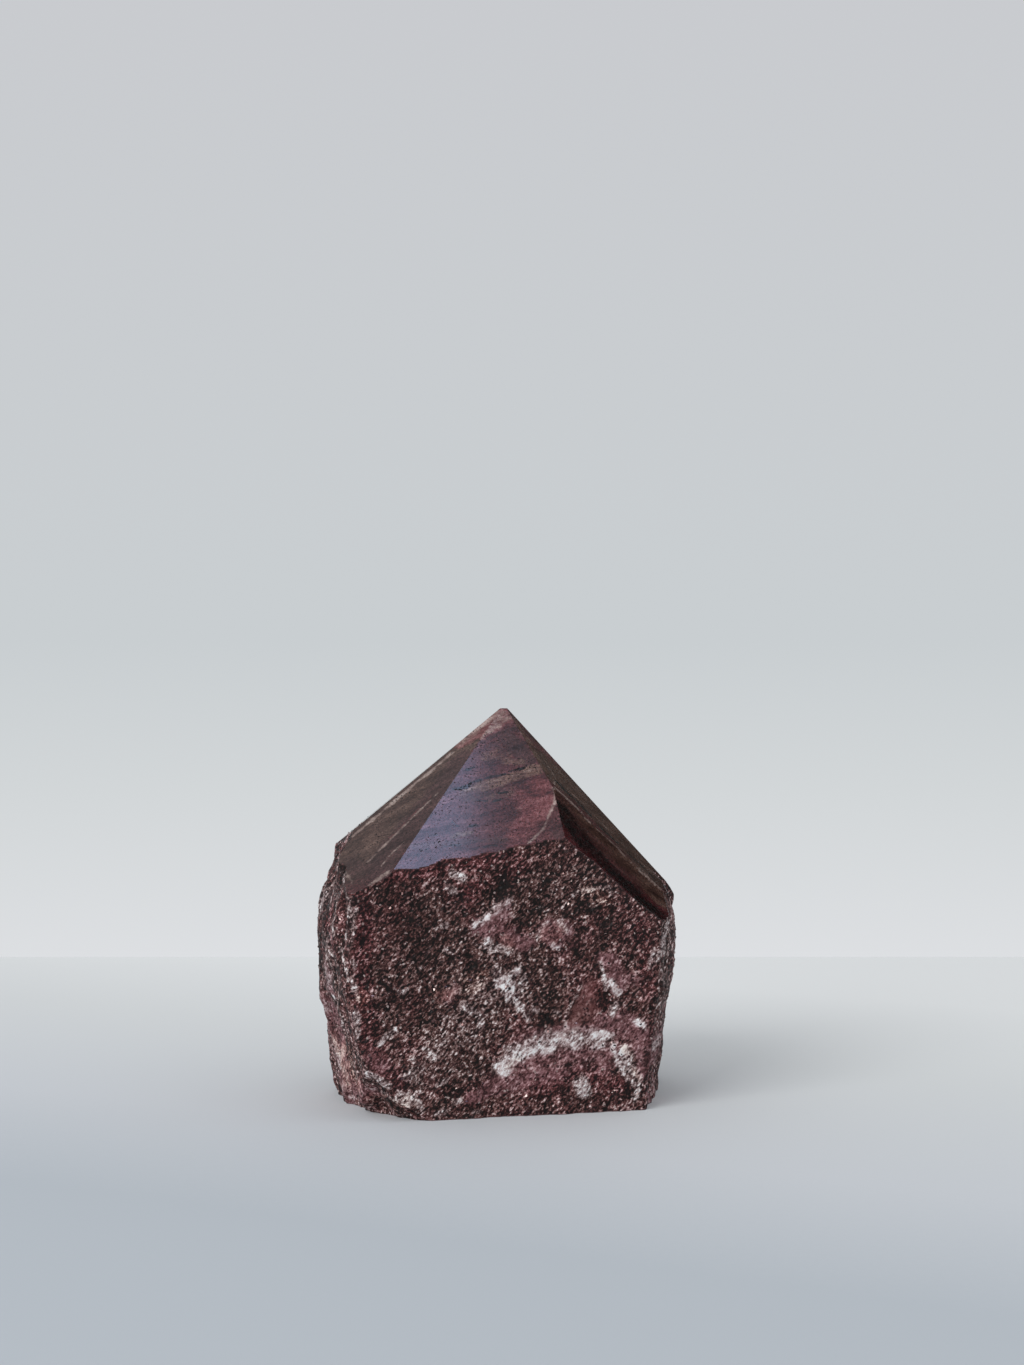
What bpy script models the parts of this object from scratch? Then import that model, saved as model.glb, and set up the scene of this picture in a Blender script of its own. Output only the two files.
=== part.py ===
"""A raw mineral point: rough broken sides, a flat sawn foot and a ground and polished point."""

import math
from typing import NamedTuple

import bmesh
import bpy
from mathutils import Vector, noise

MM = 0.001


class Cut(NamedTuple):
    """One flat side of the stone, measured from the foot of the upright axis through the tip."""

    azimuth: float  # degrees round the upright axis: 0 faces the front, 90 the right
    lift: float  # degrees that the side looks above level
    reach: float  # mm from the foot of the axis to the side, square to it


# The side that was broken or sawn off the rock, each one left rough.
RAW_SIDES = {
    "front": Cut(13.6, 0.0, 20.9),
    "front left corner": Cut(-45.0, 0.0, 35.0),
    "upper left": Cut(-80.0, 13.0, 35.6),
    "lower left": Cut(-80.0, -4.0, 28.1),
    "left foot": Cut(-75.0, -11.0, 25.6),
    "chipped lower left corner": Cut(-33.0, -42.0, 20.1),
    "back left": Cut(-116.0, -3.0, 24.4),
    "back left corner": Cut(-150.0, 4.0, 24.0),
    "back": Cut(172.0, -2.0, 21.2),
    "back right corner": Cut(132.0, 3.0, 25.0),
    "right back": Cut(98.0, -4.0, 24.6),
    "right": Cut(71.0, -6.0, 24.6),
    "upper right": Cut(78.0, 12.0, 32.9),
}

# The flats ground on the point. They meet at the tip, except the lower right one.
POLISHED_FLATS = {
    "front": Cut(4.1, 44.1, 43.4),
    "lower right": Cut(53.7, 37.0, 40.4),
    "right": Cut(67.2, 42.3, 42.0),
    "right back": Cut(105.0, 40.3, 40.3),
    "back": Cut(150.0, 47.0, 45.6),
    "back left": Cut(-146.0, 49.0, 47.1),
    "left back": Cut(-87.0, 50.5, 48.1),
    "left": Cut(-23.9, 50.3, 48.0),
}

TIP_HEIGHT = 61.8  # mm, to the small worn flat on the tip
WORN_EDGE = 0.35  # mm that wear has taken off each polished edge
STOCK = 3.5  # mm that grinding takes off the rough block
GRID = 1.65 * MM  # edge length of the rough surface's faces
BLANK = 200 * MM  # cube that every shape is cut from
FOOT_DROP = 0.4  # mm from the foot of the axis down to the sawn foot

LUMPS = (14.0, 0.75)  # size and height in mm of the broad swells of a rough side
LEDGES = (7.0, 1.1)  # size and height in mm of the stepped breaks
LEDGE_STEPS = 3
LEDGE_STRETCH = 2.4  # the steps are this much longer upright, along the layers
GRIT = (2.6, 0.32)  # size and height in mm of the small bumps
CALM_FRONT = 0.4  # the front broke flatter than the other sides
NOISE_ORIGIN = Vector((3.7, 11.2, 5.9))

STONE_COLOUR = (0.115, 0.036, 0.041, 1.0)


def facing(cut: Cut) -> Vector:
    """Give the outward direction of a flat side."""
    azimuth = math.radians(cut.azimuth)
    lift = math.radians(cut.lift)
    return Vector(
        (
            math.sin(azimuth) * math.cos(lift),
            -math.cos(azimuth) * math.cos(lift),
            math.sin(lift),
        )
    )


def cut_solid(name: str, cuts: list[tuple[Vector, float]]) -> bpy.types.Object:
    """Cut a cube down to flat sides, each given as its outward direction and its reach in mm."""
    shape = bmesh.new()
    bmesh.ops.create_cube(shape, size=BLANK)
    for outward, reach in cuts:
        sliced = bmesh.ops.bisect_plane(
            shape,
            geom=shape.verts[:] + shape.edges[:] + shape.faces[:],
            plane_co=outward * reach * MM,
            plane_no=outward,
            clear_outer=True,
        )
        rim = [item for item in sliced["geom_cut"] if isinstance(item, bmesh.types.BMEdge)]
        bmesh.ops.edgeloop_fill(shape, edges=rim)
    bmesh.ops.recalc_face_normals(shape, faces=shape.faces[:])
    mesh = bpy.data.meshes.new(name)
    shape.to_mesh(mesh)
    shape.free()
    return bpy.data.objects.new(name, mesh)


def flatten_modifiers(thing: bpy.types.Object) -> None:
    """Keep the modified mesh of an object and drop its modifiers."""
    bpy.context.view_layer.update()
    graph = bpy.context.evaluated_depsgraph_get()
    finished = bpy.data.meshes.new_from_object(thing.evaluated_get(graph))
    thing.modifiers.clear()
    thing.data = finished


def stepped(value: float, steps: int) -> float:
    """Turn a smooth value from -1 to 1 into broad treads with short slopes between them."""
    scaled = (value + 1) * 0.5 * steps
    tread = math.floor(scaled)
    rise = min(1.0, max(0.0, (scaled - tread - 0.7) / 0.3))
    return (tread + rise) / steps * 2 - 1


def roughness_height(point: Vector, calm: float) -> float:
    """Give the height of the rough surface at a point in mm, scaled by calm."""
    lumps = noise.noise(point / LUMPS[0] + NOISE_ORIGIN) * LUMPS[1]
    along_layers = Vector((point.x, point.y, point.z / LEDGE_STRETCH))
    ledges = stepped(noise.noise(along_layers / LEDGES[0] - NOISE_ORIGIN), LEDGE_STEPS) * LEDGES[1]
    grit = noise.noise(point / GRIT[0]) * GRIT[1]
    return (lumps + ledges) * calm + grit


def roughen(mesh: bpy.types.Mesh) -> None:
    """Push each point of the block in or out along its normal to break up the flat sides."""
    front = facing(RAW_SIDES["front"])
    moves = []
    for vertex in mesh.vertices:
        towards_front = max(0.0, (vertex.normal.dot(front) - 0.75) / 0.25)
        calm = 1 + (CALM_FRONT - 1) * towards_front
        moves.append(vertex.normal * roughness_height(vertex.co / MM, calm) * MM)
    for vertex, move in zip(mesh.vertices, moves):
        vertex.co += move


def make_rough_block() -> bpy.types.Object:
    """Make the broken lump of rock, a little larger than the ground point all round the top."""
    sides = [(facing(cut), cut.reach) for cut in RAW_SIDES.values()]
    stock = [(facing(cut), cut.reach + STOCK) for cut in POLISHED_FLATS.values()]
    foot = [(Vector((0, 0, -1)), FOOT_DROP + STOCK)]
    block = cut_solid("stone", sides + stock + foot)
    return block


def make_ground_form() -> bpy.types.Object:
    """Make the shape that grinding and sawing leave: the polished flats, the tip and the foot."""
    flats = [(facing(cut), cut.reach) for cut in POLISHED_FLATS.values()]
    tip = [(Vector((0, 0, 1)), TIP_HEIGHT)]
    foot = [(Vector((0, 0, -1)), FOOT_DROP)]
    form = cut_solid("ground form", flats + tip + foot)
    wear = form.modifiers.new("worn edges", "BEVEL")
    wear.width = WORN_EDGE * MM
    wear.segments = 1
    wear.limit_method = "ANGLE"
    wear.angle_limit = math.radians(8)
    return form


def make_finish() -> bpy.types.Material:
    """Make the dark maroon finish of the stone."""
    finish = bpy.data.materials.new("stone")
    finish.use_nodes = True
    shader = finish.node_tree.nodes["Principled BSDF"]
    shader.inputs["Base Color"].default_value = STONE_COLOUR
    shader.inputs["Roughness"].default_value = 0.5
    return finish


def centre_on_foot(thing: bpy.types.Object) -> None:
    """Move a mesh so that the middle of its bounding box stands over the origin."""
    points = [vertex.co for vertex in thing.data.vertices]
    middle_x = (min(p.x for p in points) + max(p.x for p in points)) / 2
    middle_y = (min(p.y for p in points) + max(p.y for p in points)) / 2
    lowest = min(p.z for p in points)
    for vertex in thing.data.vertices:
        vertex.co -= Vector((middle_x, middle_y, lowest))


def main() -> None:
    for thing in list(bpy.data.objects):
        bpy.data.objects.remove(thing)
    part = bpy.data.collections.new("mineral point")
    cutters = bpy.data.collections.new("cutters")
    bpy.context.scene.collection.children.link(part)
    bpy.context.scene.collection.children.link(cutters)

    block = make_rough_block()
    part.objects.link(block)
    remesh = block.modifiers.new("even faces", "REMESH")
    remesh.mode = "VOXEL"
    remesh.voxel_size = GRID
    flatten_modifiers(block)
    roughen(block.data)

    form = make_ground_form()
    form.hide_render = True
    form.display_type = "WIRE"
    cutters.objects.link(form)
    grind = block.modifiers.new("ground point and foot", "BOOLEAN")
    grind.operation = "INTERSECT"
    grind.solver = "EXACT"
    grind.object = form
    flatten_modifiers(block)
    form.hide_set(True)
    centre_on_foot(block)
    block.data.materials.clear()
    block.data.materials.append(make_finish())


main()
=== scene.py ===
"""Scene of a raw, half-polished mineral point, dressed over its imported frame."""

import logging
import math
from dataclasses import dataclass, field
from enum import Enum
from typing import Any, Callable, Optional, Union

import bmesh
import bpy
import numpy as np
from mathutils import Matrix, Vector, noise

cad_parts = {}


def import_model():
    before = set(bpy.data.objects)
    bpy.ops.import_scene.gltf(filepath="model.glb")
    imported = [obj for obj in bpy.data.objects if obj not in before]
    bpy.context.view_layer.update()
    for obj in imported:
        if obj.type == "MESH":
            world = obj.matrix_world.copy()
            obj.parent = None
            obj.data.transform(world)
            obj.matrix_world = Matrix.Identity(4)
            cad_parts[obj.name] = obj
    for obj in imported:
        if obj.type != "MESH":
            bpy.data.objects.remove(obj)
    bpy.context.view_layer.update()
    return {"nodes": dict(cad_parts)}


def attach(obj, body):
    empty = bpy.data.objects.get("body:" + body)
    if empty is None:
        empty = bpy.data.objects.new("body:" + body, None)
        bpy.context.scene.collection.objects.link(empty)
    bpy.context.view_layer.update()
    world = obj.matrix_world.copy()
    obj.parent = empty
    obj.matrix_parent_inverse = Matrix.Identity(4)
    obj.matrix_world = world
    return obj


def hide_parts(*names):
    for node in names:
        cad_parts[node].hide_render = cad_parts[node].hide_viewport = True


MM = 0.001
LOG = logging.getLogger("mineral point")

Place = tuple[float, float, float]
Colour = tuple[float, float, float]
Shades = tuple[tuple[float, str], ...]


@dataclass(frozen=True)
class Cut:
    """One flat side of the stone, measured from the foot of the upright axis through the tip.

    Args:
        azimuth: Degrees round the upright axis, 0 facing the front and 90 the right.
        lift: Degrees that the side looks above level.
        reach: Distance in mm from the foot of the axis to the side.
    """

    azimuth: float
    lift: float
    reach: float

    def outward(self) -> np.ndarray:
        """Give the direction that the side faces."""
        turn, rise = math.radians(self.azimuth), math.radians(self.lift)
        return np.array(
            (math.sin(turn) * math.cos(rise), -math.cos(turn) * math.cos(rise), math.sin(rise))
        )

    def across(self) -> np.ndarray:
        """Give the level direction along the side, to the right of somebody facing it."""
        turn = math.radians(self.azimuth)
        return np.array((math.cos(turn), math.sin(turn), 0.0))

    def upward(self) -> np.ndarray:
        """Give the direction up the side."""
        return np.cross(self.outward(), self.across())


class Side(Enum):
    """The named sides: the rough ones first, then the flats ground on the point.

    LEFT cuts nothing: it is the mean of the two left sides, for the marks that cross both.
    """

    LEFT = Cut(-70.0, 0.0, 29.5)
    FRONT = Cut(13.6, 0.0, 20.9)
    FRONT_LEFT_CORNER = Cut(-45.0, 0.0, 35.0)
    UPPER_LEFT = Cut(-80.0, 13.0, 35.6)
    LOWER_LEFT = Cut(-80.0, -4.0, 28.1)
    LEFT_FOOT = Cut(-75.0, -11.0, 25.6)
    CHIP = Cut(-33.0, -42.0, 20.1)
    BACK_LEFT = Cut(-116.0, -3.0, 24.4)
    BACK_LEFT_CORNER = Cut(-150.0, 4.0, 24.0)
    BACK = Cut(172.0, -2.0, 21.2)
    BACK_RIGHT_CORNER = Cut(132.0, 3.0, 25.0)
    RIGHT_BACK = Cut(98.0, -4.0, 24.6)
    RIGHT = Cut(77.0, -6.0, 25.0)
    UPPER_RIGHT = Cut(83.0, 12.0, 33.2)
    POINT_FRONT = Cut(4.1, 44.1, 43.4)
    POINT_LOWER_RIGHT = Cut(53.7, 37.0, 40.4)
    POINT_RIGHT = Cut(67.2, 42.3, 42.0)
    POINT_RIGHT_BACK = Cut(105.0, 40.3, 40.3)
    POINT_BACK = Cut(150.0, 47.0, 45.6)
    POINT_BACK_LEFT = Cut(-146.0, 49.0, 47.1)
    POINT_LEFT_BACK = Cut(-90.0, 50.5, 48.1)
    POINT_LEFT = Cut(-23.9, 50.3, 48.0)
    TIP = Cut(0.0, 90.0, 61.8)
    FOOT = Cut(0.0, -90.0, 0.4)

    @property
    def ground(self) -> bool:
        """Tell whether the side was ground or sawn flat."""
        return self.name.startswith("POINT") or self.name in ("TIP", "FOOT")

    @classmethod
    def cutting(cls) -> list["Side"]:
        """List the sides that cut the stone."""
        return [side for side in cls if side is not cls.LEFT]

    @classmethod
    def flats(cls) -> list["Side"]:
        """List the ground and sawn sides, in the order of their numbers."""
        return [side for side in cls if side.ground]


class Tint(Enum):
    """What a mark on the stone is made of. Each one is a point attribute of the mesh."""

    PALE = "pale"
    ROSE = "rose"
    TAN = "tan"
    WINE = "wine"
    DARK = "dark"
    OLIVE = "olive"
    SMOOTH = "smooth"


@dataclass(frozen=True)
class Mark:
    """A patch, vein or crack, drawn as a line with a half width on one side.

    Args:
        side: The side that it lies on.
        tint: What it is made of.
        reach: Half its width in mm.
        strength: How strongly it shows, from 0 to 1.
        path: Its points in mm, across and up the side.
    """

    side: Side
    tint: Tint
    reach: float
    strength: float
    path: tuple[tuple[float, float], ...]

    def distance(self, across: np.ndarray, up: np.ndarray) -> np.ndarray:
        """Give the distance in mm of points on the side from the mark's line.

        Args:
            across: The points' positions across the side in mm.
            up: Their positions up the side in mm.

        Returns:
            One distance for each point.
        """
        here = np.stack((across, up), axis=1)
        ends = [np.array(point) for point in self.path]
        nearest = np.linalg.norm(here - ends[0], axis=1)
        for start, end in zip(ends, ends[1:]):
            along = end - start
            share = np.clip((here - start) @ along / (along @ along), 0.0, 1.0)
            gap = np.linalg.norm(here - start - share[:, None] * along, axis=1)
            nearest = np.minimum(nearest, gap)
        return nearest


def draw(side: Side, tint: Tint, *strokes: tuple[int, ...]) -> tuple[Mark, ...]:
    """Make the marks of one tint on one side from whole numbers.

    Args:
        side: The side that they lie on.
        tint: What they are made of.
        strokes: For each mark half its width in hundredths of a mm and its strength in percent,
            then where its points are across and up the side in tenths of a mm, in turn.

    Returns:
        The marks.
    """
    return tuple(
        Mark(
            side,
            tint,
            width / 100,
            strength / 100,
            tuple((across / 10, up / 10) for across, up in zip(path[::2], path[1::2])),
        )
        for width, strength, *path in strokes
    )


# Each mark was placed one by one. Those on the hidden sides carry on the bands of the front.
MARKS = (
    *draw(Side.FRONT, Tint.PALE,
        (62, 75, -129, 370, -114, 363), (67, 60, -135, 351, -130, 343),
        (28, 50, -139, 293, -154, 288), (28, 50, -89, 306),
        (28, 85, -99, 289, -86, 297, -70, 311, -59, 322),
        (56, 55, -81, 295, -66, 310, -50, 322, -42, 329), (62, 60, -75, 266, -66, 252),
        (70, 50, -78, 258, -54, 252, -36, 247), (25, 60, 4, 268, 8, 283, 18, 291),
        (46, 42, 25, 256, 38, 249), (46, 45, 38, 292, 48, 279),
        (34, 65, 59, 333, 73, 339, 97, 342, 119, 342, 122, 334),
        (34, 85, 104, 226, 109, 208, 112, 187), (50, 70, -280, 162, -276, 138),
        (40, 80, -243, 114, -229, 127, -217, 138),
        (310, 20, -91, 169, -127, 125, -165, 96, -173, 58), (62, 65, -168, 103, -158, 94),
        (78, 50, -113, 169, -94, 158, -84, 139), (46, 70, -154, 50, -141, 57),
        (62, 50, -205, 64, -191, 71), (37, 70, -128, 23, -117, 25), (46, 70, -156, 8, -145, 9),
        (31, 70, -97, 6, -87, 7), (43, 90, -264, 72, -246, 62, -228, 53),
        (34, 50, -214, 42, -191, 31, -174, 11), (108, 100, -52, 206, -44, 194, -38, 182),
        (62, 90, -66, 200, -57, 209), (54, 90, -38, 212, -28, 220), (54, 70, -22, 205, -23, 189),
        (46, 90, -33, 174, -23, 162, -13, 145), (171, 35, -57, 218, -38, 190),
        (40, 50, 31, 155, 37, 150), (15, 60, 74, 195, 56, 165, 46, 135),
        (50, 80, 120, 197, 131, 181), (46, 90, 127, 164, 122, 144), (56, 100, 164, 133, 170, 128),
        (101, 100, -56, 73, -45, 74), (85, 100, -37, 79, -29, 85), (54, 95, -21, 90, -18, 100),
        (78, 90, -7, 97, 3, 104), (39, 90, -12, 112, -1, 117), (46, 75, 15, 99),
        (93, 85, 27, 109, 42, 113), (46, 95, 48, 103, 57, 109), (78, 90, 61, 118, 74, 112),
        (54, 80, 82, 103), (70, 100, 94, 114, 107, 118, 118, 113), (37, 70, 100, 98, 112, 103),
        (78, 70, 138, 88, 145, 75), (70, 75, 146, 66, 154, 53),
        (40, 100, 122, 101, 126, 85, 133, 68, 144, 50, 156, 39), (116, 85, 72, 43, 78, 31),
        (46, 75, 165, 34, 159, 14), (25, 70, -277, 326, -282, 296, -286, 267),
        (22, 60, -283, 244, -279, 214, -274, 183), (31, 80, -211, 193, -203, 195),
        (28, 75, -180, 228), (28, 70, -141, 254, -131, 249), (34, 60, -219, 257),
        (37, 60, -142, 151, -131, 157), (31, 60, -4, 161, 4, 155), (34, 60, -106, 116, -97, 122),
        (34, 60, -188, 89), (233, 24, -109, 200, -72, 188), (22, 70, -284, 217, -281, 195),
        (22, 80, -276, 150, -275, 123), (28, 80, -267, 80, -251, 60, -226, 47),
        (171, 52, -40, 86, -9, 102, 39, 110, 103, 111), (62, 90, -46, 65, -56, 62),
        (62, 80, 20, 96, 32, 100), (46, 85, 11, 121, 23, 125), (108, 85, 139, 88, 148, 71),
        (93, 75, 154, 59, 159, 50)),
    *draw(Side.FRONT, Tint.ROSE,
        (124, 90, -91, 288, -69, 283, -53, 305), (140, 100, -56, 282, -36, 269, -20, 260),
        (78, 90, -81, 291, -64, 304, -47, 320), (140, 100, 19, 280, 31, 268, 41, 277),
        (31, 50, 40, 241, 62, 257, 87, 269), (124, 85, 115, 231, 125, 212, 130, 193),
        (93, 60, 130, 202, 159, 197), (93, 85, -100, 28, -78, 38, -56, 56, -43, 65),
        (155, 80, 103, 126, 135, 134, 172, 117), (46, 80, -13, 121, 15, 124, 40, 127),
        (78, 70, 75, 126, 96, 122), (93, 85, 167, 105, 169, 77, 169, 55),
        (202, 45, 38, 83, 78, 84, 110, 73), (140, 50, -24, 113, 38, 117, 103, 123, 167, 105),
        (108, 60, -139, 179, -126, 193), (140, 50, -254, 95, -239, 82),
        (186, 60, -32, 73, 15, 86, 70, 91, 122, 85), (155, 70, -56, 45, -9, 54, 38, 61)),
    *draw(Side.FRONT, Tint.TAN,
        (78, 60, -56, 275, -37, 259), (78, 60, -115, 203, -96, 210, -80, 214),
        (124, 40, 16, 277, 35, 277), (78, 60, 86, 332, 106, 329, 115, 321),
        (140, 50, 79, 335, 102, 330), (78, 70, -271, 195, -266, 182),
        (93, 45, -117, 195, -91, 199), (62, 50, -40, 73, -30, 81), (62, 50, 141, 97, 149, 81),
        (62, 70, 158, 57, 162, 48), (93, 50, -150, 182, -131, 190)),
    *draw(Side.FRONT, Tint.WINE,
        (108, 90, -231, 369, -165, 379, -103, 387, -40, 396),
        (140, 90, -273, 337, -268, 288, -271, 243, -269, 198),
        (155, 50, 168, 275, 180, 229, 180, 182),
        (171, 80, -265, 171, -258, 122, -241, 79, -217, 60), (186, 60, 7, 42, 70, 56, 134, 37),
        (140, 70, -103, 337, -56, 358, -24, 373), (248, 45, -180, 104, -150, 58, -103, 33)),
    *draw(Side.FRONT, Tint.DARK,
        (140, 70, -87, 316, -63, 340, -37, 364), (108, 60, -25, 289, -5, 303, 0, 319),
        (26, 80, 32, 271, 48, 258), (93, 60, 58, 313, 74, 320, 103, 296, 119, 299),
        (17, 90, 76, 346, 90, 347, 106, 350), (217, 55, -222, 193, -192, 172, -162, 156),
        (140, 70, 108, 175, 113, 162), (202, 50, 15, 188, 20, 160, 23, 138),
        (28, 90, 186, 167, 183, 104, 177, 42), (62, 60, 147, 32, 152, 22),
        (372, 35, -219, 332, -164, 285, -133, 329), (108, 60, -103, 238, -88, 222),
        (93, 50, 7, 234, 38, 215), (78, 50, 103, 246, 87, 224), (217, 30, -63, 343, -17, 361),
        (186, 40, -180, 240, -149, 201, -165, 179), (233, 40, 71, 255, 111, 269, 154, 276)),
    *draw(Side.FRONT, Tint.OLIVE,
        (589, 75, -141, 231, -103, 170, -135, 103), (372, 70, -56, 328, 14, 342, 71, 340),
        (310, 60, -1, 235, 15, 173), (279, 60, -165, 323, -149, 277)),
    *draw(Side.FRONT, Tint.SMOOTH,
        (124, 95, 84, 188, 75, 163, 63, 140), (78, 90, 83, 140, 90, 170)),
    *draw(Side.POINT_LEFT, Tint.PALE,
        (124, 60, -49, 305, -32, 335, -10, 375), (29, 80, -50, 278, -88, 204, -118, 142, -149, 80),
        (19, 78, -40, 184, -54, 149, -65, 121, -78, 85, -90, 54, -99, 27),
        (15, 65, -56, 73, -67, 48, -74, 19), (31, 62, -77, -24, -69, -10, -57, 7),
        (22, 55, -129, 4, -112, -13, -99, -33)),
    *draw(Side.POINT_LEFT, Tint.ROSE,
        (155, 100, -49, 305, -33, 320, -20, 342, -9, 372), (25, 50, -48, 177, -66, 126, -85, 76)),
    *draw(Side.POINT_LEFT, Tint.WINE,
        (217, 60, -123, 17, -77, -11), (248, 100, -21, 257, -37, 187, -54, 113, -69, 54, -77, 15)),
    *draw(Side.POINT_LEFT, Tint.OLIVE, (620, 90, -23, 291, -56, 191, -103, 86, -130, 34)),
    *draw(Side.POINT_FRONT, Tint.PALE,
        (108, 60, -49, 379, -29, 396, -8, 414, 8, 423), (93, 60, -10, 421, -3, 429),
        (25, 70, -15, 366), (31, 34, -70, 266, -46, 272), (34, 34, -30, 280, -14, 284),
        (25, 35, 5, 293, 28, 301, 47, 310), (14, 62, 68, 267, 71, 240, 60, 216, 48, 183, 24, 156),
        (22, 30, 1, 218, 17, 226), (15, 25, -84, 174, -72, 174)),
    *draw(Side.POINT_FRONT, Tint.ROSE,
        (124, 100, -49, 379, -29, 396, -8, 414, 8, 423), (93, 100, -10, 425, -3, 434),
        (186, 62, 45, 274, 54, 243, 41, 212), (186, 55, 25, 251, 26, 206, 11, 174),
        (78, 50, 14, 158, -4, 150)),
    *draw(Side.POINT_FRONT, Tint.TAN,
        (140, 42, -34, 333, -4, 342), (78, 55, -5, 323, 19, 322),
        (101, 80, -50, 270, -23, 278, 5, 291, 28, 299, 47, 307)),
    *draw(Side.POINT_FRONT, Tint.WINE,
        (31, 100, -59, 361, -36, 370, -15, 383, 18, 398), (140, 90, -1, 376, 18, 353, 32, 327),
        (78, 60, -30, 353, -11, 366), (46, 100, -161, 149, -135, 153, -101, 157),
        (40, 100, -101, 157, -66, 160, -12, 162), (93, 50, 64, 197, 73, 169)),
    *draw(Side.POINT_FRONT, Tint.DARK,
        (28, 95, -89, 266, -65, 272), (25, 95, -36, 289, -20, 293, -6, 297),
        (23, 85, 2, 303, 25, 310), (25, 80, -51, 243, -38, 241), (23, 80, -26, 241, -11, 245),
        (23, 80, -93, 198, -84, 190), (22, 70, -65, 190, -53, 192),
        (12, 60, -111, 147, -97, 151, -83, 152), (15, 70, -152, 133, -140, 137),
        (22, 75, -143, 141, -131, 145), (20, 75, -54, 146, -39, 150, -25, 152),
        (23, 90, -62, 278, -46, 285), (23, 85, -67, 306, -54, 312), (22, 80, -16, 257, -5, 259),
        (22, 80, -127, 171, -118, 173)),
    *draw(Side.POINT_FRONT, Tint.OLIVE,
        (53, 55, -93, 170, -78, 174, -64, 176), (140, 45, -66, 251, -31, 255, -3, 264)),
    *draw(Side.POINT_LOWER_RIGHT, Tint.PALE,
        (28, 75, -49, 318, -32, 296, -14, 262, -8, 240, 7, 218, 20, 198, 31, 176, 45, 150, 67,
         118, 78, 102)),
    *draw(Side.POINT_LOWER_RIGHT, Tint.WINE,
        (279, 60, -61, 280, -55, 249, -40, 210, -19, 171, 4, 128)),
    *draw(Side.POINT_LOWER_RIGHT, Tint.DARK,
        (233, 62, -65, 267, -63, 244, -52, 206), (163, 62, -52, 206, -36, 171, -18, 135, 12, 88),
        (217, 70, 1, 94, 11, 75, 23, 62)),
    *draw(Side.POINT_LOWER_RIGHT, Tint.OLIVE,
        (310, 100, -46, 298, -21, 247, 4, 203, 31, 157, 64, 105)),
    *draw(Side.POINT_RIGHT, Tint.PALE,
        (14, 50, -18, 353, -25, 340, -40, 304, -65, 293),
        (28, 75, -77, 290, -61, 266, -50, 229, -50, 206, -39, 182, -29, 161, -22, 137, -13,
         109, 5, 74, 15, 56), (11, 35, -35, 296, -12, 233, 4, 166, 28, 103),
        (40, 50, -2, 112, 5, 86, 13, 61)),
    *draw(Side.POINT_RIGHT, Tint.TAN, (93, 60, -13, 428, -23, 385, -56, 326)),
    *draw(Side.POINT_RIGHT, Tint.DARK,
        (34, 100, -48, 298, -41, 275, -31, 255, -25, 225), (28, 100, -25, 200, -16, 180, -7, 165),
        (25, 85, 0, 143, 12, 115, 21, 87)),
    *draw(Side.POINT_RIGHT, Tint.OLIVE, (372, 100, -39, 332, -9, 273, 14, 197, 31, 104)),
    *draw(Side.LEFT, Tint.PALE,
        (42, 62, 110, 370, 151, 355, 171, 333), (33, 60, 76, 355, 49, 329, 59, 307),
        (39, 62, 173, 321, 166, 295, 151, 271), (36, 58, 115, 328, 125, 302, 129, 276),
        (36, 62, 142, 255, 164, 235, 171, 213), (39, 70, 32, 168, 78, 151, 50, 124),
        (108, 36, -13, 91, 22, 81, -14, 56, 28, 47, 22, 21, 35, 7),
        (53, 45, 36, 213, 47, 199, 20, 180), (54, 45, 99, 179, 73, 156, 93, 144),
        (39, 70, -13, 91, -11, 69, 1, 49), (240, 62, -70, 130, -30, 150),
        (200, 62, -120, 290, -50, 300, 10, 330), (260, 35, 40, 200, 70, 260)),
    *draw(Side.LEFT, Tint.ROSE,
        (78, 100, 35, 217, 49, 204, 15, 182, 68, 177),
        (140, 100, -13, 98, 17, 96, -18, 65, 35, 67, 6, 37, 37, 36),
        (108, 100, 19, 20, 42, 21, 25, -1), (240, 85, -80, 120, -30, 150, 20, 130)),
    *draw(Side.LEFT, Tint.TAN,
        (140, 90, -9, 92, 16, 64, 29, 35), (108, 80, 18, 84, 96, 85, 25, 50, 108, 43)),
    *draw(Side.LEFT, Tint.WINE,
        (140, 70, 15, 330, 56, 314, 57, 283, 118, 260), (240, 80, -100, 370, -20, 380)),
    *draw(Side.LEFT, Tint.DARK,
        (42, 95, 154, 347, 146, 322, 159, 299, 165, 275, 169, 249),
        (33, 80, 15, 325, 46, 298, 82, 271), (33, 80, 138, 262, 142, 240, 158, 219),
        (39, 80, 127, 215, 124, 188, 112, 159, 118, 132), (33, 70, 1, 158, -9, 132, -10, 111),
        (59, 90, 28, 112), (39, 80, 48, 101, 52, 83), (290, 60, -20, 220, 20, 260, 30, 310)),
    *draw(Side.LEFT, Tint.OLIVE, (93, 90, -93, 380, -95, 364, -20, 352)),
    *draw(Side.LEFT, Tint.SMOOTH, (93, 90, -93, 380, -95, 364, -20, 352)),
    *draw(Side.CHIP, Tint.PALE, (31, 60, -57, 232, -32, 227, 1, 223, 17, 206)),
    *draw(Side.CHIP, Tint.ROSE, (140, 70, -137, 157, -69, 220, -44, 227)),
    *draw(Side.CHIP, Tint.TAN, (140, 50, -53, 207, -14, 212, 6, 204)),
    *draw(Side.CHIP, Tint.DARK,
        (40, 100, -77, 205, -63, 210), (37, 100, -72, 190, -58, 184),
        (43, 100, -22, 221, -22, 201, -22, 189), (34, 100, -2, 202, 18, 192)),
    *draw(Side.RIGHT, Tint.PALE,
        (125, 62, -160, 130, -120, 115), (105, 62, -90, 110, -50, 120, -20, 115),
        (85, 62, -120, 240, -90, 270, -70, 310)),
    *draw(Side.RIGHT, Tint.ROSE,
        (78, 70, -98, 49, -58, 24), (240, 90, -170, 130, -90, 110, -10, 120)),
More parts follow.
